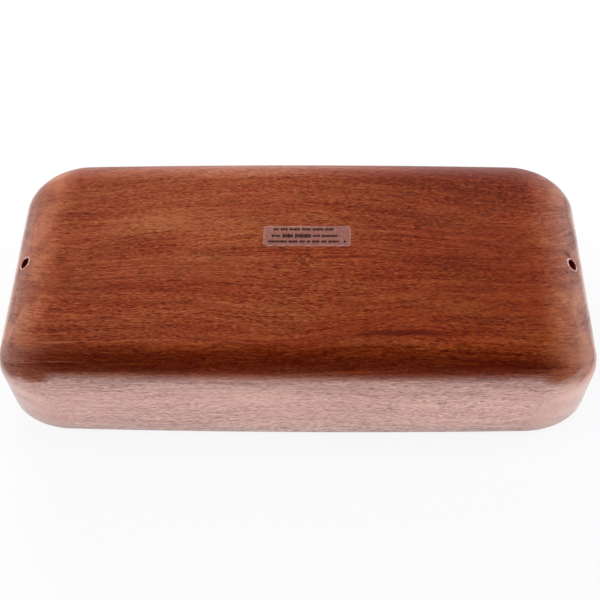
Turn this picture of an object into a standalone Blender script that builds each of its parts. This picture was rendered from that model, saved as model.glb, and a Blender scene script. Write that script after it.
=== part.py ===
"""Slotted concert wood block, as its maker glues it up from mahogany.

The block lies on its playing face, underside up. X runs along the block, Y across it and Z up,
with the origin on the playing face at the middle of the block. Sizes are in metres.

From the floor up it is a thin playing plate, three rails of one height, and a thick body. The air
between the rails is the slot. It opens on the +Y long side. Each rounded end of the body has a
blind port for a pin of the stand, drilled square to the rounding, and the underside carries a
clear label.
"""
import math

import bmesh
import bpy
from mathutils import Matrix, Vector

# Overall block
BLOCK_LENGTH = 0.298
BLOCK_DEPTH = 0.143
BLOCK_HEIGHT = 0.057

# Plan outline: elliptical corners, and long sides that swell a little at mid length
CORNER_ALONG = 0.0335
CORNER_ACROSS = 0.025
SIDE_SWELL = 0.0022

# Rounding of the underside's edge, wider at the ends than on the long sides
END_ROUND_REACH = 0.029
END_ROUND_DROP = 0.026
SIDE_ROUND_REACH = 0.0205
SIDE_ROUND_DROP = 0.0205

# Corners of the flat that the rounding leaves on the underside
FLAT_CORNER_ALONG = 0.013
FLAT_CORNER_ACROSS = 0.010

# Playing plate
PLATE_THICKNESS = 0.011
PLAYING_EDGE_ROUND = 0.004

# Slot between plate and body, and the wood left round it
SLOT_HEIGHT = 0.010
END_RAIL_WIDTH = 0.026
CLOSED_RAIL_WIDTH = 0.020

# Ports in the ends of the body
PORT_DIAMETER = 0.006
PORT_DEPTH = 0.022
PORT_FROM_END = 0.0093
PORT_RIM = 0.0007

# Clear label on the underside
LABEL_LENGTH = 0.04445
LABEL_WIDTH = 0.0127
LABEL_THICKNESS = 0.0002
LABEL_CORNER = 0.0016
LABEL_ALONG = 0.005
LABEL_ACROSS = 0.0127

# Clearance left at each glued joint
JOINT_GAP = 0.0003

# Fineness of the curved surfaces
END_STEPS = 2
CORNER_STEPS = 12
SIDE_STEPS = 5
ROUND_STEPS = 10
EDGE_STEPS = 4
PORT_SIDES = 32

# How far a cutter passes beyond the wood
OVERCUT = 0.004

# Places that several pieces share
HALF_LENGTH = BLOCK_LENGTH / 2
HALF_DEPTH = BLOCK_DEPTH / 2
BODY_BOTTOM = PLATE_THICKNESS + SLOT_HEIGHT
BODY_HEIGHT = BLOCK_HEIGHT - BODY_BOTTOM
RAIL_BOTTOM = PLATE_THICKNESS + JOINT_GAP
RAIL_TOP = BODY_BOTTOM - JOINT_GAP
SLOT_END = HALF_LENGTH - END_RAIL_WIDTH
SLOT_BACK = CLOSED_RAIL_WIDTH - HALF_DEPTH
END_DROP = min(END_ROUND_DROP, 0.9 * BODY_HEIGHT)
SIDE_DROP = min(SIDE_ROUND_DROP, 0.9 * BODY_HEIGHT)

MAHOGANY = (0.26, 0.058, 0.024)
CLEAR_FILM = (0.72, 0.62, 0.58)


def clear_scene():
    """Remove what the scene holds."""
    for old in list(bpy.data.objects):
        bpy.data.objects.remove(old, do_unlink=True)


def new_collection(name):
    """Add a collection to the scene."""
    collection = bpy.data.collections.new(name)
    bpy.context.scene.collection.children.link(collection)
    return collection


def new_material(name, colour, roughness):
    """Make a Principled material in the piece's plain colour."""
    material = bpy.data.materials.new(name)
    material.use_nodes = True
    shader = material.node_tree.nodes["Principled BSDF"]
    shader.inputs["Base Color"].default_value = (*colour, 1.0)
    shader.inputs["Roughness"].default_value = roughness
    return material


def rounded_outline(half_x, half_y, corner_x, corner_y, swell=0.0):
    """Give a closed outline, anticlockwise, as points (x, y, end_share).

    The corners are quarter ellipses. The long sides swell outwards by the given amount at the
    middle, within half_y. end_share is 1 on the two ends, 0 on the long sides, and turns from one
    to the other round each corner.
    """
    flat_y = half_y - swell
    straight_x = half_x - corner_x
    straight_y = flat_y - corner_y
    quarter = []
    for step in range(END_STEPS):
        quarter.append((half_x, straight_y * step / END_STEPS, 1.0))
    for step in range(CORNER_STEPS):
        turn = math.pi / 2 * step / CORNER_STEPS
        x = straight_x + corner_x * math.cos(turn)
        y = straight_y + corner_y * math.sin(turn)
        quarter.append((x, y, math.cos(turn) ** 2))
    for step in range(SIDE_STEPS):
        quarter.append((straight_x * (1 - step / SIDE_STEPS), flat_y, 0.0))
    upper = quarter + [(0.0, flat_y, 0.0)] + [(-x, y, share) for x, y, share in reversed(quarter)]
    lower = [(x, -y, share) for x, y, share in reversed(upper[1:-1])]
    outline = []
    for x, y, share in upper + lower:
        swollen = 1 + swell / flat_y * (1 - (x / half_x) ** 2)
        outline.append((x, y * swollen, share))
    return outline


def block_outline():
    """Give the plan outline of the whole block."""
    return rounded_outline(HALF_LENGTH, HALF_DEPTH, CORNER_ALONG, CORNER_ACROSS, SIDE_SWELL)


def add_object(name, mesh, collection, material=None):
    """Put a mesh in the scene, smooth but for its real edges."""
    mesh.shade_smooth()
    mesh.set_sharp_from_angle(angle=math.radians(30))
    if material is not None:
        mesh.materials.append(material)
    piece = bpy.data.objects.new(name, mesh)
    collection.objects.link(piece)
    return piece


def add_board(name, outline, bottom, top, collection, material):
    """Cut a flat board to an outline: a filled 2D curve with a thickness, made a mesh."""
    curve = bpy.data.curves.new(name, "CURVE")
    curve.dimensions = "2D"
    curve.fill_mode = "BOTH"
    curve.extrude = (top - bottom) / 2
    spline = curve.splines.new("POLY")
    spline.points.add(len(outline) - 1)
    for point, (x, y, _) in zip(spline.points, outline):
        point.co = (x, y, 0.0, 1.0)
    spline.use_cyclic_u = True
    drawn = bpy.data.objects.new(name + "_outline", curve)
    collection.objects.link(drawn)
    drawn.location.z = (top + bottom) / 2
    graph = bpy.context.evaluated_depsgraph_get()
    mesh = bpy.data.meshes.new_from_object(drawn.evaluated_get(graph))
    mesh.name = name
    place = drawn.matrix_world.copy()
    bpy.data.objects.remove(drawn, do_unlink=True)

    solid = bmesh.new()
    solid.from_mesh(mesh)
    bmesh.ops.remove_doubles(solid, verts=solid.verts, dist=0.00001)
    bmesh.ops.dissolve_limit(
        solid, angle_limit=math.radians(0.05), verts=solid.verts, edges=solid.edges
    )
    bmesh.ops.recalc_face_normals(solid, faces=solid.faces)
    solid.to_mesh(mesh)
    solid.free()
    board = add_object(name, mesh, collection, material)
    board.matrix_world = place
    return board


def add_cutter(name, mesh, collection):
    """Put a cutter in the scene, as a wire that doesn't render."""
    cutter = add_object(name, mesh, collection)
    cutter.hide_render = True
    cutter.display_type = "WIRE"
    return cutter


def box_cutter(name, low, high, collection):
    """Make a box between two corners."""
    low, high = Vector(low), Vector(high)
    size = high - low
    solid = bmesh.new()
    bmesh.ops.create_cube(solid, size=1.0)
    bmesh.ops.scale(solid, vec=size, verts=solid.verts)
    bmesh.ops.translate(solid, vec=(low + high) / 2, verts=solid.verts)
    mesh = bpy.data.meshes.new(name)
    solid.to_mesh(mesh)
    solid.free()
    return add_cutter(name, mesh, collection)


def cut(piece, cutter, operation="DIFFERENCE"):
    """Cut a piece with a cutter."""
    boolean = piece.modifiers.new(cutter.name, "BOOLEAN")
    boolean.operation = operation
    boolean.object = cutter


def make_playing_plate(pieces, wood):
    """The thin plate that is struck, its lower edge eased all round."""
    plate = add_board("playing_plate", block_outline(), 0.0, PLATE_THICKNESS, pieces, wood)
    plate.data.transform(plate.matrix_world)
    plate.matrix_world = Matrix.Identity(4)
    solid = bmesh.new()
    solid.from_mesh(plate.data)
    lower_edge = [
        edge for edge in solid.edges if all(vert.co.z < PLATE_THICKNESS / 2 for vert in edge.verts)
    ]
    bmesh.ops.bevel(
        solid,
        geom=lower_edge,
        offset=PLAYING_EDGE_ROUND,
        segments=EDGE_STEPS,
        profile=0.5,
        affect="EDGES",
    )
    solid.to_mesh(plate.data)
    solid.free()
    plate.data.shade_smooth()
    plate.data.set_sharp_from_angle(angle=math.radians(30))
    return plate


def make_rail(name, low, high, pieces, cutters, wood):
    """One strip of the layer between plate and body: the block's outline inside a box."""
    rail = add_board(name, block_outline(), RAIL_BOTTOM, RAIL_TOP, pieces, wood)
    keep = box_cutter(
        name + "_bounds", (*low, RAIL_BOTTOM - OVERCUT), (*high, RAIL_TOP + OVERCUT), cutters
    )
    cut(rail, keep, "INTERSECT")
    return rail


def make_rails(pieces, cutters, wood):
    """The end rails run the block's full depth, and the closed side's rail fits between them."""
    past_end = HALF_LENGTH + OVERCUT
    past_side = HALF_DEPTH + OVERCUT
    between = SLOT_END - JOINT_GAP
    make_rail(
        "left_end_rail", (-past_end, -past_side), (-SLOT_END, past_side), pieces, cutters, wood
    )
    make_rail(
        "right_end_rail", (SLOT_END, -past_side), (past_end, past_side), pieces, cutters, wood
    )
    make_rail(
        "closed_side_rail", (-between, -past_side), (between, SLOT_BACK), pieces, cutters, wood
    )


def body_rings():
    """Give the body's sections from its glued face up over the rounded edge.

    Going up the rounding, the outline draws in along and across by unlike amounts, its corners
    tighten, and each of its points climbs by the drop of the side that it lies on.
    """
    rings = [[Vector((x, y, BODY_BOTTOM)) for x, y, _ in block_outline()]]
    for step in range(ROUND_STEPS + 1):
        climb = math.pi / 2 * step / ROUND_STEPS
        drawn_in = 1 - math.cos(climb)
        outline = rounded_outline(
            HALF_LENGTH - END_ROUND_REACH * drawn_in,
            HALF_DEPTH - SIDE_ROUND_REACH * drawn_in,
            CORNER_ALONG + (FLAT_CORNER_ALONG - CORNER_ALONG) * drawn_in,
            CORNER_ACROSS + (FLAT_CORNER_ACROSS - CORNER_ACROSS) * drawn_in,
            SIDE_SWELL,
        )
        ring = []
        for x, y, end_share in outline:
            drop = SIDE_DROP + (END_DROP - SIDE_DROP) * end_share
            below = drop * (1 - math.sin(climb))
            ring.append(Vector((x, y, BLOCK_HEIGHT - below)))
        rings.append(ring)
    return rings


def loft(name, rings):
    """Skin a stack of closed rings and cap both ends."""
    solid = bmesh.new()
    levels = [[solid.verts.new(point) for point in ring] for ring in rings]
    solid.faces.new(reversed(levels[0]))
    solid.faces.new(levels[-1])
    count = len(levels[0])
    for lower, upper in zip(levels, levels[1:]):
        for here in range(count):
            after = (here + 1) % count
            solid.faces.new((lower[here], lower[after], upper[after], upper[here]))
    mesh = bpy.data.meshes.new(name)
    solid.to_mesh(mesh)
    solid.free()
    return mesh


def port_frame(side):
    """Give the transform that stands +Z in the port's axis, out of the wood, at its mouth.

    The mouth lies on the end's rounding, PORT_FROM_END in from the end of the block, and the axis
    is square to the rounding there.
    """
    climb = math.acos(1 - min(PORT_FROM_END / END_ROUND_REACH, 1))
    mouth = Vector((
        side * (HALF_LENGTH - END_ROUND_REACH * (1 - math.cos(climb))),
        0.0,
        BLOCK_HEIGHT - END_DROP * (1 - math.sin(climb)),
    ))
    square = Vector((
        side * math.cos(climb) / END_ROUND_REACH, 0.0, math.sin(climb) / END_DROP
    ))
    return Matrix.Translation(mouth) @ square.to_track_quat("Z", "X").to_matrix().to_4x4()


def port_cutter(name, side, inner, outer, inner_radius, outer_radius, cutters):
    """A cylinder or cone on the port's axis, from inner to outer past its mouth."""
    solid = bmesh.new()
    bmesh.ops.create_cone(
        solid,
        cap_ends=True,
        segments=PORT_SIDES,
        radius1=inner_radius,
        radius2=outer_radius,
        depth=outer - inner,
        matrix=port_frame(side) @ Matrix.Translation((0.0, 0.0, (inner + outer) / 2)),
    )
    mesh = bpy.data.meshes.new(name)
    solid.to_mesh(mesh)
    solid.free()
    return add_cutter(name, mesh, cutters)


def make_port(label, side, body, cutters):
    """Cut one port: the blind bore, then a cone that eases its rim."""
    radius = PORT_DIAMETER / 2
    bore = port_cutter(
        label + "_port_bore", side, -PORT_DEPTH, OVERCUT, radius, radius, cutters
    )
    reach = 2 * PORT_RIM
    rim = port_cutter(
        label + "_port_rim",
        side,
        -reach,
        reach,
        radius + PORT_RIM - reach,
        radius + PORT_RIM + reach,
        cutters,
    )
    cut(body, bore)
    cut(body, rim)


def make_body(pieces, cutters, wood):
    """The thick upper block with the rounded underside and a port in each end."""
    body = add_object("body_block", loft("body_block", body_rings()), pieces, wood)
    make_port("left", -1, body, cutters)
    make_port("right", 1, body, cutters)
    return body


def make_label(pieces, film):
    """The clear film on the underside, behind the middle of the block."""
    outline = rounded_outline(LABEL_LENGTH / 2, LABEL_WIDTH / 2, LABEL_CORNER, LABEL_CORNER)
    bottom = BLOCK_HEIGHT + JOINT_GAP
    label = add_board("clear_label", outline, bottom, bottom + LABEL_THICKNESS, pieces, film)
    label.location.x += LABEL_ALONG
    label.location.y += LABEL_ACROSS
    return label


def main():
    """Build the wood block."""
    clear_scene()
    pieces = new_collection("wood_block")
    cutters = new_collection("cutters")
    wood = new_material("lacquered_mahogany", MAHOGANY, 0.3)
    film = new_material("clear_film", CLEAR_FILM, 0.4)
    make_playing_plate(pieces, wood)
    make_rails(pieces, cutters, wood)
    make_body(pieces, cutters, wood)
    make_label(pieces, film)


main()
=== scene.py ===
"""Looks of a concert wood block in lacquered mahogany, lying on its playing face.

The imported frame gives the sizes. Fine wood pieces, the clear label and its print are modelled
over it, on a pale studio floor. Sizes are in metres, and patterns in the wood in millimetres.
"""
import math
from functools import partial

import bmesh
import bpy
from mathutils import Matrix, Vector


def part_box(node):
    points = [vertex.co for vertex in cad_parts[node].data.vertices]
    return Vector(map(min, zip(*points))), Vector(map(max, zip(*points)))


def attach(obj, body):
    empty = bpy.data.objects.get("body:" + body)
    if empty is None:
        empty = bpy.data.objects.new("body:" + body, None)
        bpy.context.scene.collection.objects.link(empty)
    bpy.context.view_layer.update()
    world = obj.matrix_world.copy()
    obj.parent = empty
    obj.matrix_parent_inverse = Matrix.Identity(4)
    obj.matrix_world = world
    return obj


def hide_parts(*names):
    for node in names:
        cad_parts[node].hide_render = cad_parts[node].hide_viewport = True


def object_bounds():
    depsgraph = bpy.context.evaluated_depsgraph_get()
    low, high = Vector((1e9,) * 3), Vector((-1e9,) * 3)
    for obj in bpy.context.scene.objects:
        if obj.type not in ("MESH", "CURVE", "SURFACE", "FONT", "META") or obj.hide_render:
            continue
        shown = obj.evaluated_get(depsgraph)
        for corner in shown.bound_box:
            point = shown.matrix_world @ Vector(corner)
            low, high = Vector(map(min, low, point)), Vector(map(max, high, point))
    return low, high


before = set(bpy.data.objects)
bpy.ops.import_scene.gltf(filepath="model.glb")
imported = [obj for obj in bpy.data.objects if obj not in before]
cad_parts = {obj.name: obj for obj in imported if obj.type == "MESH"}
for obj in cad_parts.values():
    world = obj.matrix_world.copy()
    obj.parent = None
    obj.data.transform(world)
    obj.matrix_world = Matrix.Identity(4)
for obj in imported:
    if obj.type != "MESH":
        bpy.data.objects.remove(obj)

bl_info = {
    "name": "Mahogany wood block",
    "version": (1, 0, 0),
    "blender": (4, 5, 0),
    "location": "View3D > Sidebar > Wood block",
    "description": "Dresses a packed wood block in lacquered mahogany and sets its studio",
    "category": "Object",
}

MM = 0.001
CAD_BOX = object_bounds()
BODY_LOW, BODY_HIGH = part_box("body_block")
PLATE_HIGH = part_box("playing_plate")[1]
END_RAIL_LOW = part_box("right_end_rail")[0]
SIDE_RAIL_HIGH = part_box("closed_side_rail")[1]
LABEL_LOW, LABEL_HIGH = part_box("clear_label")

HALF_LENGTH = BODY_HIGH.x
HALF_DEPTH = BODY_HIGH.y
UNDERSIDE = BODY_HIGH.z
HALF_HEIGHT = UNDERSIDE / 2
GLUE_LINE = 0.01 * MM
LABEL_FILM = 0.09 * MM
ROUND_STEPS = 64
BEAD_STEPS = 12
# A bead stands this much as high as a round one would
BEAD_HEIGHT = 0.45
WHITE = (1.0, 1.0, 1.0, 1.0)
# Makes a Map Range node go softly from one value to the other
SOFT = {"interpolation_type": "SMOOTHSTEP"}

# Figure of the wood, in millimetres: where its ends begin, counted from the middle, the width of
# a growth layer, and the place of the smudge
END_ZONE_MM = (HALF_LENGTH / MM - 34.0, HALF_LENGTH / MM - 12.0)
LAYER_MM = 12.0
SMUDGE_MM = (137.8, 5.2, 51.6)

# The growth layers lie aslant, so the flat is palest over its back left and darkest towards the
# right, and paler wood comes out again at the right corner of the closed side. Each patch has
# its middle and its reach, both along and across in millimetres, and its share of tone.
TONE_PATCHES = (
    ((-45.0, 26.0), (105.0, 62.0), 0.22),
    ((95.0, 0.0), (95.0, 90.0), -0.15),
    ((95.0, 62.0), (120.0, 40.0), -0.34),
    ((141.0, -58.0), (34.0, 34.0), 0.30),
    ((-73.0, 24.0), (42.0, 11.0), 0.24),
    ((-77.0, 7.0), (34.0, 7.0), -0.20),
    ((-85.0, -9.0), (36.0, 8.0), 0.20),
    ((54.0, -48.5), (34.0, 3.5), -0.55),
)

# Studio. The fan is the floor's white patch in front: its sides spread by this much a step ahead.
LAMP_DISTANCE = 1.2
BOX_SIZE = (0.6, 0.45)
FAN_SLOPE = 0.45
PANEL_WIDTH = 0.8
PANEL_GAP = 0.009
PANEL_DEPTH = 0.52
PANEL_LIFT = 0.002
ROOM_GREY = 0.06

# Camera, standing where the photograph was taken from
CAMERA_ELEVATION = 56.37
CAMERA_AZIMUTH = 2.08
CAMERA_ROLL = -1.55
CAMERA_DISTANCE = 0.53443
CAMERA_TARGET = (0.00127, -0.00757, 0.0285)
CAMERA_FOCAL_PIXELS = 1021.4
IMAGE_PIXELS = 600
SENSOR_MM = 36.0


def linear(hex_colour):
    """Turn an sRGB hex colour into the linear values that the nodes take, with full alpha."""
    channels = [int(hex_colour[place:place + 2], 16) / 255 for place in (1, 3, 5)]
    return (*[c / 12.92 if c <= 0.04045 else ((c + 0.055) / 1.055) ** 2.4 for c in channels], 1.0)


def add_node(tree, kind, inputs=(), output=0, stops=(), **settings):
    """Add one node and give one of its outputs, or all of them where output is None.

    inputs go into the sockets in order, or by name or number where they are a dict, and one that
    is a socket is linked. stops are the colour stops of a ramp, each a place and a linear colour.
    """
    node = tree.nodes.new("ShaderNode" + kind)
    for name, value in settings.items():
        setattr(node, name, value)
    for name, value in inputs.items() if isinstance(inputs, dict) else enumerate(inputs):
        if isinstance(value, bpy.types.NodeSocket):
            tree.links.new(value, node.inputs[name])
        else:
            node.inputs[name].default_value = value
    if stops:
        elements = node.color_ramp.elements
        while len(elements) < len(stops):
            elements.new(0.5)
        for element, (place, value) in zip(elements, stops):
            element.position = place
            element.color = value
    return node.outputs if output is None else node.outputs[output]


def new_material(name):
    """Make a node material, and give it with its tree and its Principled shader."""
    material = bpy.data.materials.new(name)
    material.use_nodes = True
    return material, material.node_tree, material.node_tree.nodes["Principled BSDF"]


def wood_figure(tree, look):
    """Draw the figure of flat-sawn mahogany. Give its colour, its pores and its lacquer's weight.

    Everything is in millimetres, and the board's fibres run along X. Bundles of fibres, streaks
    and short dashes add up to one tone, which goes from deep red to pale gold. Painted shade,
    painted light and painted sheen are added into the same tone.
    """
    add = partial(add_node, tree)
    place = add("TexCoord", output="Object")
    in_mm = add("VectorMath", {0: place, "Scale": 1 / MM}, operation="SCALE")
    level = add("SeparateXYZ", (in_mm,), None)

    def streaks(where, spacing, detail=1.0, output="Fac"):
        """Spread noise whose features are this far apart along, across and up."""
        squeezed = add("Mapping", {"Vector": where, "Scale": [1 / mm for mm in spacing]})
        return add("TexNoise", {"Vector": squeezed, "Scale": 1.0, "Detail": detail}, output)

    def shifted(where, by, reach):
        """Push points about by a noise colour, at most by half of reach."""
        centred = add("VectorMath", (by, (0.5, 0.5, 0.5)), operation="SUBTRACT")
        return add("VectorMath", (centred, reach, where), operation="MULTIPLY_ADD")

    # End grain comes out where the ends round off, and is all there is low down on them
    off_middle = add("Math", (level["X"],), operation="ABSOLUTE")
    near_end = add("MapRange", (off_middle, *END_ZONE_MM), **SOFT)
    low_down = add("MapRange", (level["Z"], 42.0, 26.0), **SOFT)
    on_end_grain = add("Math", (near_end, low_down), operation="MULTIPLY")

    # The grain wanders over a hand's breadth, bows away from the middle and ripples over a
    # finger's. It lies in sheets that lean back, so its lines sweep back where the ends round off,
    # and they break up into dots on the end grain. On the open side the sheets lean outwards.
    swayed = shifted(in_mm, streaks(in_mm, (90.0, 40.0, 40.0), output="Color"), (0.0, 16.0, 5.0))
    curve = add("MapRange", (level["Y"], -40.0, 50.0, 0.0, 0.0007), **SOFT)
    bow = add("Math", (level["X"], level["X"]), operation="MULTIPLY")
    bow = add("Math", (bow, curve), operation="MULTIPLY")
    drop = add("Math", (UNDERSIDE / MM, level["Z"]), operation="SUBTRACT")
    lean_back = add("MapRange", (level["Y"], -60.0, 20.0, -0.7, -1.5), **SOFT)
    lean_out = add("MapRange", (level["Y"], 28.0, 60.0, 0.0, 2.2), **SOFT)
    lean = add("Math", (lean_back, lean_out), operation="ADD")
    level_off = add("Math", (on_end_grain, -0.6, 0.85), operation="MULTIPLY_ADD")
    bowed = add("CombineXYZ", {
        1: add("Math", (drop, lean, bow), operation="MULTIPLY_ADD"),
        2: add("Math", (drop, level_off), operation="MULTIPLY"),
    })
    wander = add("VectorMath", (swayed, bowed), operation="ADD")
    grain = shifted(wander, streaks(wander, (22.0, 7.0, 7.0), output="Color"), (0.0, 1.4, 0.6))

    # Above 53.5 mm the tone is darker over the closed side's rounding, which is painted shade, and
    # paler towards the ends. Below 50 mm it is paler, most of all on the closed side's face, which
    # is painted light.
    upper_tone_painted_shade = add("MapRange", (level["Y"], -50.0, -60.0, 0.54, 0.24), **SOFT)
    upper_tone_painted_shade = add("Math", (near_end, 0.16, upper_tone_painted_shade), operation="MULTIPLY_ADD")
    below = add("MapRange", (level["Y"], -50.0, -62.0, 0.555, 0.63), **SOFT)
    depth = add("MapRange", (level["Z"], 53.5, 50.0), **SOFT)
    tone = add("Mix", {0: depth, 2: upper_tone_painted_shade, 3: below})
    for middle, reach, share in TONE_PATCHES:
        aside = add("VectorMath", (swayed, (*middle, 0.0)), operation="SUBTRACT")
        scaled = add("VectorMath", (aside, (1 / reach[0], 1 / reach[1], 0.0)), operation="MULTIPLY")
        away = add("VectorMath", (scaled,), "Value", operation="LENGTH")
        patch = add("MapRange", (away, 1.0, 0.0, 0.0, share), **SOFT)
        tone = add("Math", (tone, patch), operation="ADD")

    # Where the ends round off, mottled pale gold patches are painted sheen, weaker low on the end
    # grain and towards the closed side
    mottled_painted_sheen = add("MapRange", (streaks(in_mm, (12.0, 15.0, 12.0)), 0.40, 0.60, 0.10, 0.55), **SOFT)
    off_side = add("MapRange", (level["Y"], -66.0, -40.0, 0.4, 1.0), **SOFT)
    high_up = add("Math", (on_end_grain, -0.7, 1.0), operation="MULTIPLY_ADD")
    for share in (off_side, high_up, near_end):
        mottled_painted_sheen = add("Math", (mottled_painted_sheen, share), operation="MULTIPLY")
    tone = add("Math", (tone, mottled_painted_sheen), operation="ADD")

    # Bands go both ways from the tone round them, and lines only darken it. Each share says how
    # much of the tone's range this kind of mark takes.
    bands = (
        (wander, (90.0, 13.0, 13.0), 1.0, 0.42),
        (wander, (80.0, 4.0, 4.0), 1.0, 0.40),
        (grain, (60.0, 1.6, 1.6), 0.0, 0.28),
        (grain, (2.2, 0.30, 0.30), 0.0, 1.35),
    )
    lines = (((60.0, 0.55, 0.55), 0.28), ((14.0, 0.42, 0.42), 0.20), ((4.5, 0.34, 0.34), 0.20))
    for where, spacing, detail, share in bands:
        band = add("Math", (streaks(where, spacing, detail), 0.5), operation="SUBTRACT")
        tone = add("Math", (band, share, tone), operation="MULTIPLY_ADD")
    coarseness = add("MapRange", (streaks(wander, (70.0, 16.0, 16.0)), 0.36, 0.62, 0.80, 1.15), **SOFT)
    for spacing, share in lines:
        line = add("MapRange", (streaks(grain, spacing, 0.0), 0.52, 0.24), **SOFT)
        line = add("Math", (line, coarseness), operation="MULTIPLY")
        tone = add("Math", (line, -share, tone), operation="MULTIPLY_ADD")

    # At the ends each growth layer gets darker towards the back, and at two corners it ends in a
    # thin pale line, which comes and goes
    spot = add("SeparateXYZ", (wander,), None)
    across = add("Math", (streaks(in_mm, (40.0, 22.0, 22.0)), 4.0, spot["Y"]), operation="MULTIPLY_ADD")
    layer = add("Math", (across, 1 / LAYER_MM), operation="MULTIPLY")
    layer = add("Math", (layer,), operation="FRACT")
    paler = add("Math", (0.5, layer), operation="SUBTRACT")
    shade = add("Math", (near_end, 0.16), operation="MULTIPLY")
    tone = add("Math", (paler, shade, tone), operation="MULTIPLY_ADD")
    corners = [
        add("Math", (
            add("MapRange", (level["X"], *along), **SOFT), add("MapRange", (level["Y"], *sideways), **SOFT),
        ), operation="MULTIPLY")
        for along, sideways in (((-85.0, -120.0), (-42.0, -54.0)), ((122.0, 132.0), (12.0, 28.0)))
    ]
    rim = add("MapRange", (layer, 0.0, 0.03), **SOFT)
    rim_end = add("MapRange", (layer, 0.07, 0.03), **SOFT)
    at_corner = add("Math", corners, operation="MAXIMUM")
    faint = add("MapRange", (streaks(in_mm, (30.0, 9.0, 9.0)), 0.38, 0.56, 0.08, 0.5), **SOFT)
    for share in (rim_end, at_corner, faint):
        rim = add("Math", (rim, share), operation="MULTIPLY")

    # Vessels cut along their length, 0.4 mm wide here, twice the real width, so that they show
    pores = add("MapRange", (streaks(grain, (4.0, 0.36, 0.36), 0.0), 0.62, 0.72), **SOFT)
    fewer = add("MapRange", (near_end, 0.0, 1.0, 1.0, 0.45), **SOFT)
    pores = add("Math", (pores, fewer), operation="MULTIPLY")
    filled = add("Math", (pores, 0.75), operation="MULTIPLY")

    # A dark smudge in the lacquer beside the right port
    ragged = shifted(in_mm, streaks(in_mm, (1.5, 1.5, 1.5), output="Color"), (2.5, 2.5, 2.5))
    aside = add("VectorMath", (ragged, SMUDGE_MM), "Value", operation="DISTANCE")
    smudge = add("MapRange", (aside, 3.4, 0.8, 0.0, 0.85), **SOFT)

    # The heartwood drifts between red and gold over some centimetres, under all the marks
    tone_place = add("Math", (tone, 0.8), operation="MULTIPLY")
    colour = add("ValToRGB", (tone_place,), stops=(
        (0.01, linear(look.wood_dark)), (0.40, linear(look.wood_middle)),
        (0.66, linear(look.wood_light)), (0.92, linear(look.wood_gold)),
    ))
    drift = add("ValToRGB", (streaks(wander, (38.0, 13.0, 13.0)),), stops=(
        (0.30, (1.02, 0.95, 0.92, 1.0)), (0.70, (0.98, 1.10, 1.08, 1.0)),
    ))
    colour = add("Mix", {0: 1.0, 6: colour, 7: drift}, 2, data_type="RGBA", blend_type="MULTIPLY")
    for share, mark in ((rim, look.wood_line), (filled, look.wood_pore), (smudge, look.wood_smudge)):
        colour = add("Mix", {0: share, 6: colour, 7: linear(mark)}, 2, data_type="RGBA")

    # The lacquer lies thinner over coarse dark wood, and thinnest over a vessel
    film = add("MapRange", (tone, 0.10, 0.70, 0.50, 1.0), **SOFT)
    over_pores = add("MapRange", (pores, 0.0, 1.0, 1.0, 0.45), **SOFT)
    off_smudge = add("Math", (1.0, smudge), operation="SUBTRACT")
    for share in (over_pores, off_smudge):
        film = add("Math", (film, share), operation="MULTIPLY")
    return colour, pores, film


def drift_colour(tree, shader, patch_mm, detail, *stops):
    """Let a shader's colour drift between these stops, in patches of this width."""
    place = add_node(tree, "TexCoord", output="Object")
    patches = add_node(
        tree, "TexNoise", {"Vector": place, "Scale": 1 / (patch_mm * MM), "Detail": detail}
    )
    tree.links.new(add_node(tree, "ValToRGB", (patches,), stops=stops), shader.inputs["Base Color"])


def lacquered_mahogany(look):
    """Mahogany, planed, sanded and sprayed with gloss lacquer.

    The lacquer is a clear coat that mirrors the room over the wood's own silky gloss, and it
    sinks into the vessels. Both IORs are raised to match the bright front of the block.
    """
    material, tree, shader = new_material("mahogany_under_lacquer")
    colour, pores, film = wood_figure(tree, look)
    sunk = {"Height": pores, "Strength": 0.3, "Distance": 0.05 * MM}
    tree.links.new(colour, shader.inputs["Base Color"])
    tree.links.new(film, shader.inputs["Coat Weight"])
    tree.links.new(add_node(tree, "Bump", sunk, invert=True), shader.inputs["Coat Normal"])
    shader.inputs["Roughness"].default_value = 0.38
    shader.inputs["IOR"].default_value = 2.4
    shader.inputs["Specular Tint"].default_value = linear(look.wood_sheen)
    shader.inputs["Coat Roughness"].default_value = 0.06
    shader.inputs["Coat IOR"].default_value = 3.3
    return material


def bare_mahogany(look):
    """Mahogany as the cutter leaves it, in the slot: no lacquer, so dull."""
    material, tree, shader = new_material("mahogany_bare")
    colour, pores, _ = wood_figure(tree, look)
    cut_marks = {"Height": pores, "Strength": 0.6, "Distance": 0.1 * MM}
    tree.links.new(colour, shader.inputs["Base Color"])
    tree.links.new(add_node(tree, "Bump", cut_marks, invert=True), shader.inputs["Normal"])
    shader.inputs["Roughness"].default_value = 0.75
    return material


def bore_painted_shade(look):
    """Mahogany in the ports, darkened towards black: painted shade inside the bores."""
    material, tree, shader = new_material("mahogany_bore_painted_shade")
    drift_colour(tree, shader, 0.8, 2.0, (0.40, linear(look.bore)), (0.70, linear(look.wood_pore)))
    shader.inputs["Roughness"].default_value = 0.8
    return material


def clear_film(look):
    """Polyester label film, die cut. Its adhesive leaves a fine frosted veil over the wood."""
    material, tree, shader = new_material("clear_polyester_film")
    drift_colour(tree, shader, 0.9, 2.0, (0.35, linear(look.film)), (0.65, linear(look.film_pale)))
    shader.inputs["Alpha"].default_value = 0.34
    shader.inputs["Roughness"].default_value = 0.4
    return material


def film_edge(look):
    """Cut edge of the label film, where the adhesive gathers and whitens."""
    material, tree, shader = new_material("polyester_film_edge")
    drift_colour(tree, shader, 3.0, 2.0, (0.35, linear(look.film)), (0.60, linear(look.film_white)))
    shader.inputs["Alpha"].default_value = 0.38
    shader.inputs["Roughness"].default_value = 0.5
    return material


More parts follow.
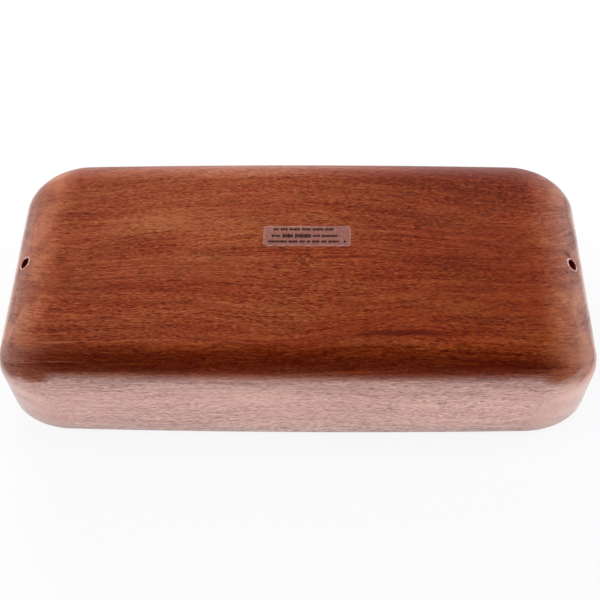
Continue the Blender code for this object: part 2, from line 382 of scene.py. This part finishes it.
def bead_painted_highlight(look):
    """A bead of lacquer round a port, its pale milky colour a painted highlight along the lip."""
    material, tree, shader = new_material("port_bead_painted_highlight")
    drift_colour(tree, shader, 1.6, 2.0, (0.35, linear(look.film)), (0.60, linear(look.bead)))
    shader.inputs["Roughness"].default_value = 0.3
    return material


def print_ink(look):
    """Black thermal-transfer ink: a thin waxy film, a little worn."""
    material, tree, shader = new_material("black_print_ink")
    drift_colour(tree, shader, 0.3, 3.0, (0.40, linear(look.ink)), (0.75, linear(look.ink_worn)))
    shader.inputs["Roughness"].default_value = 0.5
    return material


class WoodBlockForm(bpy.types.PropertyGroup):
    """Shape of the wood. What the frame's boxes give isn't repeated here."""

    corner_along: bpy.props.FloatProperty(
        name="Corner along", description="Reach of the plan corners along the block",
        default=0.0335, unit="LENGTH")
    corner_across: bpy.props.FloatProperty(
        name="Corner across", description="Reach of the plan corners across the block",
        default=0.025, unit="LENGTH")
    side_swell: bpy.props.FloatProperty(
        name="Side swell", description="How far the long sides swell at mid length",
        default=0.0022, unit="LENGTH")
    end_reach: bpy.props.FloatProperty(
        name="End rounding reach", description="Width of the rounding at the ends, in plan",
        default=0.029, unit="LENGTH")
    end_drop: bpy.props.FloatProperty(
        name="End rounding drop", description="Height of the rounding at the ends",
        default=0.026, unit="LENGTH")
    side_reach: bpy.props.FloatProperty(
        name="Side rounding reach", description="Width of the rounding on the long sides, in plan",
        default=0.0205, unit="LENGTH")
    side_drop: bpy.props.FloatProperty(
        name="Side rounding drop", description="Height of the rounding on the long sides",
        default=0.0205, unit="LENGTH")
    flat_corner_along: bpy.props.FloatProperty(
        name="Flat corner along", description="Reach of the underside's flat corners, along",
        default=0.013, unit="LENGTH")
    flat_corner_across: bpy.props.FloatProperty(
        name="Flat corner across", description="Reach of the underside's flat corners, across",
        default=0.010, unit="LENGTH")
    playing_edge: bpy.props.FloatProperty(
        name="Playing edge", description="Radius of the playing plate's struck edge",
        default=0.004, unit="LENGTH")
    mouth_edge: bpy.props.FloatProperty(
        name="Slot mouth edge", description="Radius sanded on the edges of the slot's mouth",
        default=0.0007, unit="LENGTH")
    port_diameter: bpy.props.FloatProperty(
        name="Port", description="Bore of the ports", default=0.006, unit="LENGTH")
    port_depth: bpy.props.FloatProperty(
        name="Port depth", description="Depth of the ports", default=0.022, unit="LENGTH")
    port_from_end: bpy.props.FloatProperty(
        name="Port from end", description="How far in from the end the port's mouth lies",
        default=0.0093, unit="LENGTH")
    ring_diameter: bpy.props.FloatProperty(
        name="Pressed ring", description="Diameter of the pressed ring", default=0.0066, unit="LENGTH")
    ring_width: bpy.props.FloatProperty(
        name="Ring width", description="Width of the ring's groove", default=0.0015, unit="LENGTH")
    ring_along: bpy.props.FloatProperty(
        name="Ring along", description="Place of the ring along the block", default=0.0042, unit="LENGTH")
    ring_across: bpy.props.FloatProperty(
        name="Ring across", description="Place of the ring across the block", default=-0.0018, unit="LENGTH")
    port_rim: bpy.props.FloatProperty(
        name="Port rim", description="Width of the lacquer bead round each port",
        default=0.00095, unit="LENGTH")


class WoodBlockLook(bpy.types.PropertyGroup):
    """Colours of the finishes, as sRGB hex values."""

    wood_dark: bpy.props.StringProperty(
        name="Dark wood", description="Dark figure of the mahogany", default="#601706")
    wood_middle: bpy.props.StringProperty(
        name="Middle wood", description="Plain mahogany", default="#9c4119")
    wood_light: bpy.props.StringProperty(
        name="Light wood", description="Pale figure of the mahogany", default="#b76036")
    # The gold shows mostly in the painted sheen at the ends
    wood_gold: bpy.props.StringProperty(
        name="Gold", description="Palest layers, at the ends", default="#cc7040")
    wood_line: bpy.props.StringProperty(
        name="Growth line", description="Thin pale line between two growth layers", default="#c98a72")
    wood_pore: bpy.props.StringProperty(
        name="Vessels", description="Cut vessels, filled with dark lacquer", default="#350c05")
    wood_smudge: bpy.props.StringProperty(
        name="Smudge", description="Dark smudge beside the right port", default="#4a2228")
    # The bore colour is painted shade, darkening the wood in the ports
    bore: bpy.props.StringProperty(
        name="Bore", description="Burnished wood in the ports", default="#8e1c14")
    # The bead colour is a painted highlight round the ports
    bead: bpy.props.StringProperty(
        name="Bead", description="Milky lacquer round the ports", default="#dcb0a8")
    wood_sheen: bpy.props.StringProperty(
        name="Sheen", description="Tint of the gloss that comes back from the fibres", default="#ffb7a6")
    film: bpy.props.StringProperty(
        name="Film", description="Veil of the label film", default="#9c6860")
    film_pale: bpy.props.StringProperty(
        name="Pale film", description="Palest part of the label film's veil", default="#b5827a")
    film_white: bpy.props.StringProperty(
        name="Film edge", description="Whitened edge of the label film", default="#e0c2ba")
    ink: bpy.props.StringProperty(
        name="Ink", description="Black print", default="#140809")
    ink_worn: bpy.props.StringProperty(
        name="Worn ink", description="Black print where it is thin", default="#38201c")


class WoodBlockStudio(bpy.types.PropertyGroup):
    """Floor and lamps."""

    floor_size: bpy.props.FloatProperty(
        name="Floor", description="Width of the floor", default=6.0, unit="LENGTH")
    back_left_power: bpy.props.FloatProperty(
        name="Back left box", description="Power of the soft box behind on the left",
        default=14.6, unit="POWER")
    back_right_power: bpy.props.FloatProperty(
        name="Back right box", description="Power of the soft box behind on the right",
        default=4.2, unit="POWER")
    left_power: bpy.props.FloatProperty(
        name="Left box", description="Power of the soft box on the left", default=6.6, unit="POWER")
    right_power: bpy.props.FloatProperty(
        name="Right box", description="Power of the soft box on the right", default=7.0, unit="POWER")
    panel_power: bpy.props.FloatProperty(
        name="Front panel", description="Power of the glowing panel in front", default=2.0, unit="POWER")


def rounded_outline(half_x, half_y, corner_x, corner_y, swell=0.0, steps=(24, 28, 40)):
    """Give a closed outline, anticlockwise, as points (x, y, end_share).

    The corners are quarter ellipses, and the long sides swell towards the middle. end_share is 1
    on the ends and 0 on the long sides. steps counts each half end, corner and half side.
    """
    end_steps, corner_steps, side_steps = steps
    flat_y = half_y - swell
    straight_x = half_x - corner_x
    straight_y = flat_y - corner_y
    quarter = [(half_x, straight_y * step / end_steps, 1.0) for step in range(end_steps)]
    for step in range(corner_steps):
        turn = math.pi / 2 * step / corner_steps
        x = straight_x + corner_x * math.cos(turn)
        y = straight_y + corner_y * math.sin(turn)
        quarter.append((x, y, math.cos(turn) ** 2))
    quarter += [(straight_x * (1 - step / side_steps), flat_y, 0.0) for step in range(side_steps)]
    upper = quarter + [(0.0, flat_y, 0.0)] + [(-x, y, share) for x, y, share in reversed(quarter)]
    lower = [(x, -y, share) for x, y, share in reversed(upper[1:-1])]
    return [
        (x, y * (1 + swell / flat_y * (1 - (x / half_x) ** 2)), share)
        for x, y, share in upper + lower
    ]


def block_outline(form):
    """Give the plan outline of the whole block."""
    return rounded_outline(HALF_LENGTH, HALF_DEPTH, form.corner_along, form.corner_across, form.side_swell)


def raise_rings(name, rings, margin=1.5 * MM):
    """Model a closed solid: a filled circle takes the first ring and is extruded through the rest.

    A margin inset in the last face keeps it flat to its edge in the shading.
    """
    bpy.ops.object.select_all(action="DESELECT")
    bpy.ops.mesh.primitive_circle_add(vertices=len(rings[0]), radius=1.0, fill_type="NGON")
    piece = bpy.context.object
    piece.name = name
    bpy.ops.object.mode_set(mode="EDIT")
    for count, ring in enumerate(rings):
        if count:
            bpy.ops.mesh.extrude_region_move()
        shape = bmesh.from_edit_mesh(piece.data)
        cap = next(face for face in shape.faces if face.select)
        for vertex, point in zip(cap.verts, ring):
            vertex.co = point
        bmesh.update_edit_mesh(piece.data)
    if margin:
        bpy.ops.mesh.inset(thickness=margin)
    bpy.ops.mesh.select_all(action="SELECT")
    bpy.ops.mesh.normals_make_consistent(inside=False)
    bpy.ops.object.mode_set(mode="OBJECT")
    return piece


def pick(piece):
    """Select one piece alone and make it the active one."""
    bpy.ops.object.select_all(action="DESELECT")
    piece.select_set(True)
    bpy.context.view_layer.objects.active = piece


def cut(piece, cutter, operation="DIFFERENCE"):
    """Cut a piece with a cutter, for good, and take the cutter away."""
    pick(piece)
    boolean = piece.modifiers.new("cut", "BOOLEAN")
    boolean.operation = operation
    boolean.object = cutter
    bpy.ops.object.modifier_apply(modifier=boolean.name)
    bpy.data.objects.remove(cutter, do_unlink=True)


def ease_mouth(piece, height, width):
    """Round the edge of the slot's mouth, which lies at this height on the open long side."""
    pick(piece)
    bpy.ops.object.mode_set(mode="EDIT")
    bpy.ops.mesh.select_all(action="DESELECT")
    bpy.ops.mesh.select_mode(type="EDGE")
    shape = bmesh.from_edit_mesh(piece.data)
    for edge in shape.edges:
        ends = [vertex.co for vertex in edge.verts]
        level = all(abs(end.z - height) < 0.1 * MM for end in ends)
        between = all(abs(end.x) < END_RAIL_LOW.x and end.y > HALF_DEPTH * 0.9 for end in ends)
        sharp = len(edge.link_faces) == 2 and edge.calc_face_angle() > math.radians(60)
        edge.select_set(level and between and sharp)
    bmesh.update_edit_mesh(piece.data)
    bpy.ops.mesh.bevel(offset=width, segments=4)
    bpy.ops.object.mode_set(mode="OBJECT")


def finish_piece(piece, node, slot, *materials):
    """Shade a piece, give it its materials and put it in its node's stead."""
    pick(piece)
    bpy.ops.object.shade_smooth_by_angle(angle=math.radians(30))
    piece.data.materials.clear()
    for material in materials:
        piece.data.materials.append(material)
    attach(piece, "root")
    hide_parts(node)


def find_material(name, make):
    """Give the material of this name, made once."""
    look = bpy.context.scene.wood_block_look
    return bpy.data.materials.get(name) or make(look)


def lacquered_and_bare():
    """Give the two finishes of the wood, outside and inside."""
    return (
        find_material("mahogany_under_lacquer", lacquered_mahogany),
        find_material("mahogany_bare", bare_mahogany),
    )


def at_height(outline, z):
    """Give an outline as points at one height."""
    return [Vector((x, y, z)) for x, y, _ in outline]


def on_end(form, side, down=0.0, across=0.0):
    """Give a point near a port, so far down the rounding and across it, and the normal there."""
    climb = math.acos(1 - form.port_from_end / form.end_reach)
    stretch = math.hypot(form.end_reach * math.sin(climb), form.end_drop * math.cos(climb))
    climb -= down / stretch
    square = Vector((side * math.cos(climb) / form.end_reach, 0.0, math.sin(climb) / form.end_drop))
    surface = Vector((
        side * (HALF_LENGTH - form.end_reach * (1 - math.cos(climb))),
        across,
        UNDERSIDE - form.end_drop * (1 - math.sin(climb)),
    ))
    return surface, square.normalized()


def port_place(form, side):
    """Give the transform that stands +Z in a port's axis, out of the wood, at its mouth."""
    mouth, square = on_end(form, side)
    return Matrix.Translation(mouth) @ square.to_track_quat("Z", "X").to_matrix().to_4x4()


def port_drill(form, side):
    """Model the pointed drill that leaves a port."""
    radius = form.port_diameter / 2
    profile = (
        (0.1 * MM, -form.port_depth - 0.5 * radius),
        (radius, -form.port_depth),
        (radius, radius),
    )
    turns = [2 * math.pi * step / ROUND_STEPS for step in range(ROUND_STEPS)]
    place = port_place(form, side)
    rings = [
        [place @ Vector((reach * math.cos(turn), reach * math.sin(turn), z)) for turn in turns]
        for reach, z in profile
    ]
    return raise_rings("port_drill", rings, margin=0.0)


def press_ring(body, form):
    """Press a plain ring into the underside, below the label."""
    bpy.ops.object.select_all(action="DESELECT")
    bpy.ops.mesh.primitive_torus_add(
        major_radius=form.ring_diameter / 2, minor_radius=form.ring_width / 2,
        major_segments=ROUND_STEPS, minor_segments=BEAD_STEPS,
        location=(form.ring_along, form.ring_across, UNDERSIDE),
    )
    cut(body, bpy.context.object)


class WOODBLOCK_OT_body(bpy.types.Operator):
    """Model the thick body with its rounded underside and its two ports."""

    bl_idname = "woodblock.body"
    bl_label = "Body"

    def execute(self, context):
        form = context.scene.wood_block_form
        round_steps = 28
        rings = [at_height(block_outline(form), BODY_LOW.z)]
        for step in range(round_steps + 1):
            climb = math.pi / 2 * step / round_steps
            drawn_in = 1 - math.cos(climb)
            outline = rounded_outline(
                HALF_LENGTH - form.end_reach * drawn_in,
                HALF_DEPTH - form.side_reach * drawn_in,
                form.corner_along + (form.flat_corner_along - form.corner_along) * drawn_in,
                form.corner_across + (form.flat_corner_across - form.corner_across) * drawn_in,
                form.side_swell,
            )
            rings.append([
                Vector((x, y, UNDERSIDE - (1 - math.sin(climb)) * (
                    form.side_drop + (form.end_drop - form.side_drop) * end_share
                )))
                for x, y, end_share in outline
            ])
        body = raise_rings("body", rings)
        ease_mouth(body, BODY_LOW.z, form.mouth_edge)
        for side in (-1, 1):
            cut(body, port_drill(form, side))
        press_ring(body, form)
        bore_shade_material = find_material("mahogany_bore_painted_shade", bore_painted_shade)
        finish_piece(body, "body_block", "lacquered_mahogany", *lacquered_and_bare(), bore_shade_material)
        # Faces in the ports take the bore's painted shade
        bores = [port_place(form, side).inverted() for side in (-1, 1)]
        for face in body.data.polygons:
            glued = face.normal.z < -0.9 and face.center.z < BODY_LOW.z + 0.1 * MM
            in_port = any(
                (bore @ face.center).xy.length < 0.501 * form.port_diameter
                and (bore.to_3x3() @ face.normal).z < 0.9
                for bore in bores
            )
            face.material_index = 2 if in_port else 1 if glued else 0
        return {"FINISHED"}


class WOODBLOCK_OT_port_rims(bpy.types.Operator):
    """Model the bead of lacquer round each port, lying on the rounded end."""

    bl_idname = "woodblock.port_rims"
    bl_label = "Port rims"

    def execute(self, context):
        form = context.scene.wood_block_form
        for side, name in ((-1, "left_port_rim"), (1, "right_port_rim")):
            bpy.ops.object.select_all(action="DESELECT")
            bpy.ops.mesh.primitive_torus_add(
                major_radius=(form.port_diameter + form.port_rim) / 2, minor_radius=form.port_rim / 2,
                major_segments=ROUND_STEPS, minor_segments=BEAD_STEPS,
            )
            rim = bpy.context.object
            rim.name = name
            bpy.ops.object.mode_set(mode="EDIT")
            shape = bmesh.from_edit_mesh(rim.data)
            for vertex in shape.verts:
                surface, square = on_end(form, side, vertex.co.x, vertex.co.y)
                vertex.co = surface + BEAD_HEIGHT * vertex.co.z * square
            bmesh.update_edit_mesh(rim.data)
            bpy.ops.mesh.select_all(action="SELECT")
            bpy.ops.mesh.normals_make_consistent(inside=False)
            bpy.ops.object.mode_set(mode="OBJECT")
            bpy.ops.object.shade_smooth()
            rim.data.materials.clear()
            rim.data.materials.append(find_material("port_bead_painted_highlight", bead_painted_highlight))
            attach(rim, "root")
        return {"FINISHED"}


class WOODBLOCK_OT_plate(bpy.types.Operator):
    """Model the playing plate, its struck edge rounded."""

    bl_idname = "woodblock.plate"
    bl_label = "Playing plate"

    def execute(self, context):
        form = context.scene.wood_block_form
        edge = form.playing_edge
        edge_steps = 8
        rings = []
        for step in range(edge_steps + 1):
            climb = math.pi / 2 * step / edge_steps
            drawn_in = edge * (1 - math.sin(climb))
            outline = rounded_outline(
                HALF_LENGTH - drawn_in,
                HALF_DEPTH - drawn_in,
                form.corner_along - drawn_in,
                form.corner_across - drawn_in,
                form.side_swell,
            )
            rings.append(at_height(outline, edge * (1 - math.cos(climb))))
        rings.append(at_height(block_outline(form), PLATE_HIGH.z))
        plate = raise_rings("plate", rings)
        ease_mouth(plate, PLATE_HIGH.z, form.mouth_edge)
        finish_piece(plate, "playing_plate", "lacquered_mahogany", *lacquered_and_bare())
        for face in plate.data.polygons:
            face.material_index = 1 if face.normal.z > 0.9 else 0
        return {"FINISHED"}


class WOODBLOCK_OT_rails(bpy.types.Operator):
    """Model the three rails between plate and body, tight at their glue lines."""

    bl_idname = "woodblock.rails"
    bl_label = "Rails"

    def execute(self, context):
        form = context.scene.wood_block_form
        slot_end = END_RAIL_LOW.x
        slot_back = SIDE_RAIL_HIGH.y
        past = 5 * MM
        spans = {
            "left_end_rail": ((-HALF_LENGTH - past, -HALF_DEPTH - past), (-slot_end, HALF_DEPTH + past)),
            "right_end_rail": ((slot_end, -HALF_DEPTH - past), (HALF_LENGTH + past, HALF_DEPTH + past)),
            "closed_side_rail": (
                (GLUE_LINE - slot_end, -HALF_DEPTH - past), (slot_end - GLUE_LINE, slot_back)
            ),
        }
        bottom = PLATE_HIGH.z + GLUE_LINE
        top = BODY_LOW.z - GLUE_LINE
        for node, (low, high) in spans.items():
            rail = raise_rings("wood_" + node, [at_height(block_outline(form), z) for z in (bottom, top)])
            bpy.ops.object.select_all(action="DESELECT")
            bpy.ops.mesh.primitive_cube_add(
                size=1.0,
                location=((low[0] + high[0]) / 2, (low[1] + high[1]) / 2, (bottom + top) / 2),
                scale=(high[0] - low[0], high[1] - low[1], 2 * (top - bottom)),
            )
            cut(rail, bpy.context.object, "INTERSECT")
            finish_piece(rail, node, "lacquered_mahogany", *lacquered_and_bare())
            for face in rail.data.polygons:
                in_slot = abs(face.center.x) < slot_end + GLUE_LINE and face.center.y > slot_back - GLUE_LINE
                face.material_index = 1 if in_slot else 0
        return {"FINISHED"}


class WOODBLOCK_OT_label(bpy.types.Operator):
    """Model the label film on the underside."""

    bl_idname = "woodblock.label"
    bl_label = "Label"

    def execute(self, context):
        middle = (LABEL_LOW + LABEL_HIGH) / 2
        half = (LABEL_HIGH - LABEL_LOW) / 2
        corner = 1.6 * MM
        lip = LABEL_FILM / 3
        bottom = UNDERSIDE + GLUE_LINE
        rings = []
        for drawn_in, up in ((0.0, 0.0), (0.0, 2 * lip), (lip, 3 * lip)):
            outline = rounded_outline(
                half.x - drawn_in, half.y - drawn_in, corner - drawn_in, corner - drawn_in,
                steps=(2, 10, 4),
            )
            rings.append([Vector((x + middle.x, y + middle.y, bottom + up)) for x, y, _ in outline])
        film = raise_rings("label_film", rings, margin=0.35 * MM)
        finish_piece(
            film, "clear_label", "clear_film",
            find_material("clear_polyester_film", clear_film),
            find_material("polyester_film_edge", film_edge),
        )
        for face in film.data.polygons:
            face.material_index = 0 if abs(face.normal.z) > 0.99 and len(face.vertices) > 4 else 1
        return {"FINISHED"}


class WOODBLOCK_OT_label_print(bpy.types.Operator):
    """Print rows of plain blocks on the label, with an arrow at both ends of the lowest."""

    bl_idname = "woodblock.label_print"
    bl_label = "Label print"

    def execute(self, context):
        stroke_width = 0.74 * MM
        pitch = 0.91 * MM
        gap = 0.95 * MM
        ink_depth = 0.02 * MM
        top = UNDERSIDE + GLUE_LINE + LABEL_FILM
        middle = (LABEL_LOW + LABEL_HIGH) / 2
        # Each row: its height on the label, its start, and its groups of blocks as their count
        # and their height, all but the count in millimetres
        low, high, lowest_row = 1.2, 2.1, -3.5
        rows = (
            (4.3, -17.2, ((3, low), (4, low), (6, low), (5, low), (6, low), (5, low))),
            (0.1, -18.0, ((5, low), (6, high), (9, high), (4, low), (9, low))),
            (lowest_row, -18.3, [(count, 1.25) for count in (9, 5, 3, 2, 4, 3, 6)]),
        )
        bpy.ops.object.select_all(action="DESELECT")
        bpy.ops.mesh.primitive_cube_add(size=1.0)
        stroke = bpy.context.object
        bpy.ops.object.mode_set(mode="EDIT")
        bpy.ops.mesh.select_all(action="DESELECT")
        bpy.ops.mesh.select_mode(type="EDGE")
        shape = bmesh.from_edit_mesh(stroke.data)
        for edge in shape.edges:
            edge.select_set(abs(edge.verts[0].co.z - edge.verts[1].co.z) > 0.5)
        bmesh.update_edit_mesh(stroke.data)
        bpy.ops.mesh.bevel(offset=0.22, segments=3)
        bpy.ops.object.mode_set(mode="OBJECT")
        strokes = []

        def print_block(along, across, width, height):
            """Copy the block to its place on the label, in metres from the label's middle."""
            block = stroke.copy()
            block.data = stroke.data.copy()
            place = Vector((middle.x + along, middle.y + across, top + ink_depth / 2))
            size = Matrix.Diagonal((width, height, ink_depth, 1.0))
            block.data.transform(Matrix.Translation(place) @ size)
            bpy.context.scene.collection.objects.link(block)
            strokes.append(block)

        for across, start, groups in rows:
            along = start * MM + stroke_width / 2
            for count, height in groups:
                for number in range(count):
                    tall = height * (1.0 if number % 3 else 1.3) * MM
                    print_block(along, across * MM, stroke_width, tall)
                    along += pitch
                along += gap
        for side in (-1, 1):
            for number in range(3):
                along = side * (19.8 - 0.45 * number) * MM
                print_block(along, lowest_row * MM, 0.45 * MM, (0.5 + 0.55 * number) * MM)
        bpy.data.objects.remove(stroke, do_unlink=True)
        bpy.ops.object.select_all(action="DESELECT")
        for block in strokes:
            block.select_set(True)
        bpy.context.view_layer.objects.active = strokes[0]
        bpy.ops.object.join()
        ink = bpy.context.object
        ink.name = "label_print"
        ink.data.materials.clear()
        ink.data.materials.append(find_material("black_print_ink", print_ink))
        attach(ink, "root")
        return {"FINISHED"}


class WOODBLOCK_OT_stage(bpy.types.Operator):
    """Set the floor, the world, the lamps and the camera."""

    bl_idname = "woodblock.stage"
    bl_label = "Studio"

    def execute(self, context):
        studio = context.scene.wood_block_studio
        make_floor(studio.floor_size)
        make_world()
        make_lamps(studio)
        make_camera()
        context.scene.view_settings.view_transform = "Standard"
        return {"FINISHED"}


def make_floor(width):
    """Lay the pale floor: white to the camera, and in the gloss white close by and in front.

    In the gloss the white fans out ahead of the closed side, and the rest is grey, which is
    darkest in front on the left.
    """
    bpy.ops.object.select_all(action="DESELECT")
    bpy.ops.mesh.primitive_plane_add(size=width, location=(0.0, 0.0, CAD_BOX[0][2]))
    floor = bpy.context.object
    floor.name = "floor"
    material, tree, shader = new_material("white_paper_sweep")
    shader.inputs["Base Color"].default_value = (0.82, 0.82, 0.82, 1.0)
    shader.inputs["Roughness"].default_value = 0.9
    add = partial(add_node, tree)
    place = add("TexCoord", output="Object")
    axes = add("SeparateXYZ", (place,), None)
    aside = add("Math", (axes["X"],), operation="ABSOLUTE")
    across = add("Math", (axes["Y"],), operation="ABSOLUTE")
    past_end = add("Math", (aside, HALF_LENGTH), operation="SUBTRACT")
    past_side = add("Math", (across, HALF_DEPTH), operation="SUBTRACT")
    away = add("Math", (past_end, past_side), operation="MAXIMUM")
    close = add("MapRange", (away, 0.03, 0.085, 1.0, 0.0), **SOFT)
    grey = add("MapRange", (axes["X"], 0.1, 0.3, 0.06, 0.35), **SOFT)
    far = add("MapRange", (axes["Y"], -HALF_DEPTH - 0.04, 0.0, grey, 0.34), **SOFT)
    in_front = add("MapRange", (axes["Y"], -HALF_DEPTH, -HALF_DEPTH - 0.03), **SOFT)
    ahead = add("Math", (-HALF_DEPTH, axes["Y"]), operation="SUBTRACT")
    ahead = add("Math", (ahead, 0.0), operation="MAXIMUM")
    past_fan = add("Math", (ahead, -FAN_SLOPE, aside), operation="MULTIPLY_ADD")
    fan = add("MapRange", (past_fan, 0.15, 0.30, 1.0, 0.0), **SOFT)
    mirrored = add("Math", (in_front, fan), operation="MULTIPLY")
    for part in (close, far):
        mirrored = add("Math", (mirrored, part), operation="MAXIMUM")
    path = add("LightPath", output=None)
    strength = add("Mix", {0: path["Is Glossy Ray"], 2: 1.0, 3: mirrored})
    glow = add("Emission", {"Color": WHITE, "Strength": strength})
    seen = path["Is Camera Ray"]
    for kind in ("Is Glossy Ray", "Is Transmission Ray"):
        seen = add("Math", (seen, path[kind]), operation="MAXIMUM")
    share = add("Math", (seen, 0.9), operation="MULTIPLY")
    blend = add("MixShader", (share, shader.outputs[0], glow))
    tree.links.new(blend, tree.nodes["Material Output"].inputs["Surface"])
    floor.data.materials.append(material)


def make_world():
    """Set the room: white to the camera, and in the gloss white round the horizon in front.

    In the gloss the front fades to black by 35 degrees up, so that the underside stays deep. The
    sides and the back are grey and fade upwards. A weak even grey fills the shadows.
    """
    world = bpy.data.worlds.new("studio")
    bpy.context.scene.world = world
    world.use_nodes = True
    tree = world.node_tree
    tree.nodes.clear()
    add = partial(add_node, tree)
    direction = add("TexCoord", output="Generated")
    axes = add("SeparateXYZ", (direction,), None)
    front = add("MapRange", (axes["Z"], -0.05, 0.57, 1.0, 0.0), **SOFT)
    on_left = add("MapRange", (axes["Z"], 0.10, 0.97, 0.25, 0.0))
    on_right = add("MapRange", (axes["Z"], 0.0, 0.86, 0.36, 0.0))
    to_right = add("MapRange", (axes["X"], -0.25, 0.25), **SOFT)
    behind = add("Mix", {0: to_right, 2: on_left, 3: on_right})
    at_corner = add("MapRange", (axes["Y"], -0.50, 0.05, 0.22, 1.0), **SOFT)
    behind = add("Math", (behind, at_corner), operation="MULTIPLY")
    past_front = add("MapRange", (axes["Y"], -0.25, 0.10), **SOFT)
    aside = add("Math", (axes["X"],), operation="ABSOLUTE")
    past_fan = add("MapRange", (aside, 0.28, 0.62), **SOFT)
    off_front = add("Math", (past_front, past_fan), operation="MAXIMUM")
    mirrored = add("Mix", {0: off_front, 2: front, 3: behind})
    path = add("LightPath", output=None)
    lit = add("Mix", {0: path["Is Glossy Ray"], 2: ROOM_GREY, 3: mirrored})
    shown = add("Mix", {0: path["Is Camera Ray"], 2: lit, 3: 1.0})
    back = add("Background", {"Color": WHITE, "Strength": shown})
    add("OutputWorld", {"Surface": back}, None)


def add_lamp(name, place, target, size, power):
    """Set one soft box, aimed at a point, that lights but isn't seen or mirrored."""
    data = bpy.data.lights.new(name, "AREA")
    data.shape = "RECTANGLE"
    data.size, data.size_y = size
    data.energy = power
    lamp = bpy.data.objects.new(name, data)
    bpy.context.scene.collection.objects.link(lamp)
    lamp.location = place
    aim = Vector(target) - Vector(place)
    lamp.rotation_euler = aim.to_track_quat("-Z", "Y").to_euler()
    lamp.visible_camera = False
    lamp.visible_glossy = False


def make_lamps(studio):
    """Light the block from low behind and from both sides, and from a glowing panel in front.

    The low lamps leave the front rounding deep, and the panel, which lies on the floor, lifts
    the long side again.
    """
    boxes = (
        ("back_left_box", -20, 23, studio.back_left_power),
        ("back_right_box", 28, 36, studio.back_right_power),
        ("left_box", -90, 60, studio.left_power),
        ("right_box", 80, 44, studio.right_power),
    )
    for name, azimuth, elevation, power in boxes:
        turn = math.radians(azimuth)
        climb = math.radians(elevation)
        place = LAMP_DISTANCE * Vector((
            math.sin(turn) * math.cos(climb), math.cos(turn) * math.cos(climb), math.sin(climb)
        ))
        add_lamp(name, place, (0.0, 0.0, HALF_HEIGHT), BOX_SIZE, power)
    near = -HALF_DEPTH - PANEL_GAP
    middle = near - PANEL_DEPTH / 2
    panel_size = (PANEL_WIDTH, PANEL_DEPTH)
    add_lamp(
        "front_panel", (0.0, middle, PANEL_LIFT), (0.0, middle, 1.0), panel_size, studio.panel_power
    )


def make_camera():
    """Stand the camera where the photograph was taken from."""
    elevation = math.radians(CAMERA_ELEVATION)
    azimuth = math.radians(CAMERA_AZIMUTH)
    roll = math.radians(CAMERA_ROLL)
    back = Vector((
        math.sin(azimuth) * math.cos(elevation),
        -math.cos(azimuth) * math.cos(elevation),
        math.sin(elevation),
    ))
    level_right = (-back).cross(Vector((0.0, 0.0, 1.0))).normalized()
    level_up = level_right.cross(-back)
    right = level_right * math.cos(roll) + level_up * math.sin(roll)
    up = level_up * math.cos(roll) - level_right * math.sin(roll)
    data = bpy.data.cameras.new("camera")
    data.sensor_width = SENSOR_MM
    data.lens = CAMERA_FOCAL_PIXELS / IMAGE_PIXELS * SENSOR_MM
    data.clip_start = 0.01
    data.clip_end = 50.0
    camera = bpy.data.objects.new("camera", data)
    bpy.context.scene.collection.objects.link(camera)
    turn = Matrix((right, up, back)).transposed().to_4x4()
    camera.matrix_world = Matrix.Translation(Vector(CAMERA_TARGET) + back * CAMERA_DISTANCE) @ turn
    bpy.context.scene.camera = camera


class WOODBLOCK_PT_panel(bpy.types.Panel):
    """List the sizes, the colours and the pieces in the sidebar."""

    bl_idname = "WOODBLOCK_PT_panel"
    bl_label = "Wood block"
    bl_space_type = "VIEW_3D"
    bl_region_type = "UI"
    bl_category = "Wood block"

    def draw(self, context):
        scene = context.scene
        for group in (scene.wood_block_form, scene.wood_block_look, scene.wood_block_studio):
            for name in group.__annotations__:
                self.layout.prop(group, name)
        for operator in OPERATORS:
            self.layout.operator(operator.bl_idname)


OPERATORS = (
    WOODBLOCK_OT_body, WOODBLOCK_OT_port_rims, WOODBLOCK_OT_plate, WOODBLOCK_OT_rails, WOODBLOCK_OT_label,
    WOODBLOCK_OT_label_print, WOODBLOCK_OT_stage,
)
CLASSES = (WoodBlockForm, WoodBlockLook, WoodBlockStudio, *OPERATORS, WOODBLOCK_PT_panel)


def register():
    """Add the classes and the settings to Blender."""
    for part in CLASSES:
        bpy.utils.register_class(part)
    bpy.types.Scene.wood_block_form = bpy.props.PointerProperty(type=WoodBlockForm)
    bpy.types.Scene.wood_block_look = bpy.props.PointerProperty(type=WoodBlockLook)
    bpy.types.Scene.wood_block_studio = bpy.props.PointerProperty(type=WoodBlockStudio)


def unregister():
    """Take the settings and the classes out again."""
    del bpy.types.Scene.wood_block_studio
    del bpy.types.Scene.wood_block_look
    del bpy.types.Scene.wood_block_form
    for part in reversed(CLASSES):
        bpy.utils.unregister_class(part)


def main():
    """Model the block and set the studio."""
    register()
    bpy.ops.woodblock.body()
    bpy.ops.woodblock.port_rims()
    bpy.ops.woodblock.plate()
    bpy.ops.woodblock.rails()
    bpy.ops.woodblock.label()
    bpy.ops.woodblock.label_print()
    bpy.ops.woodblock.stage()


if __name__ == "__main__":
    main()
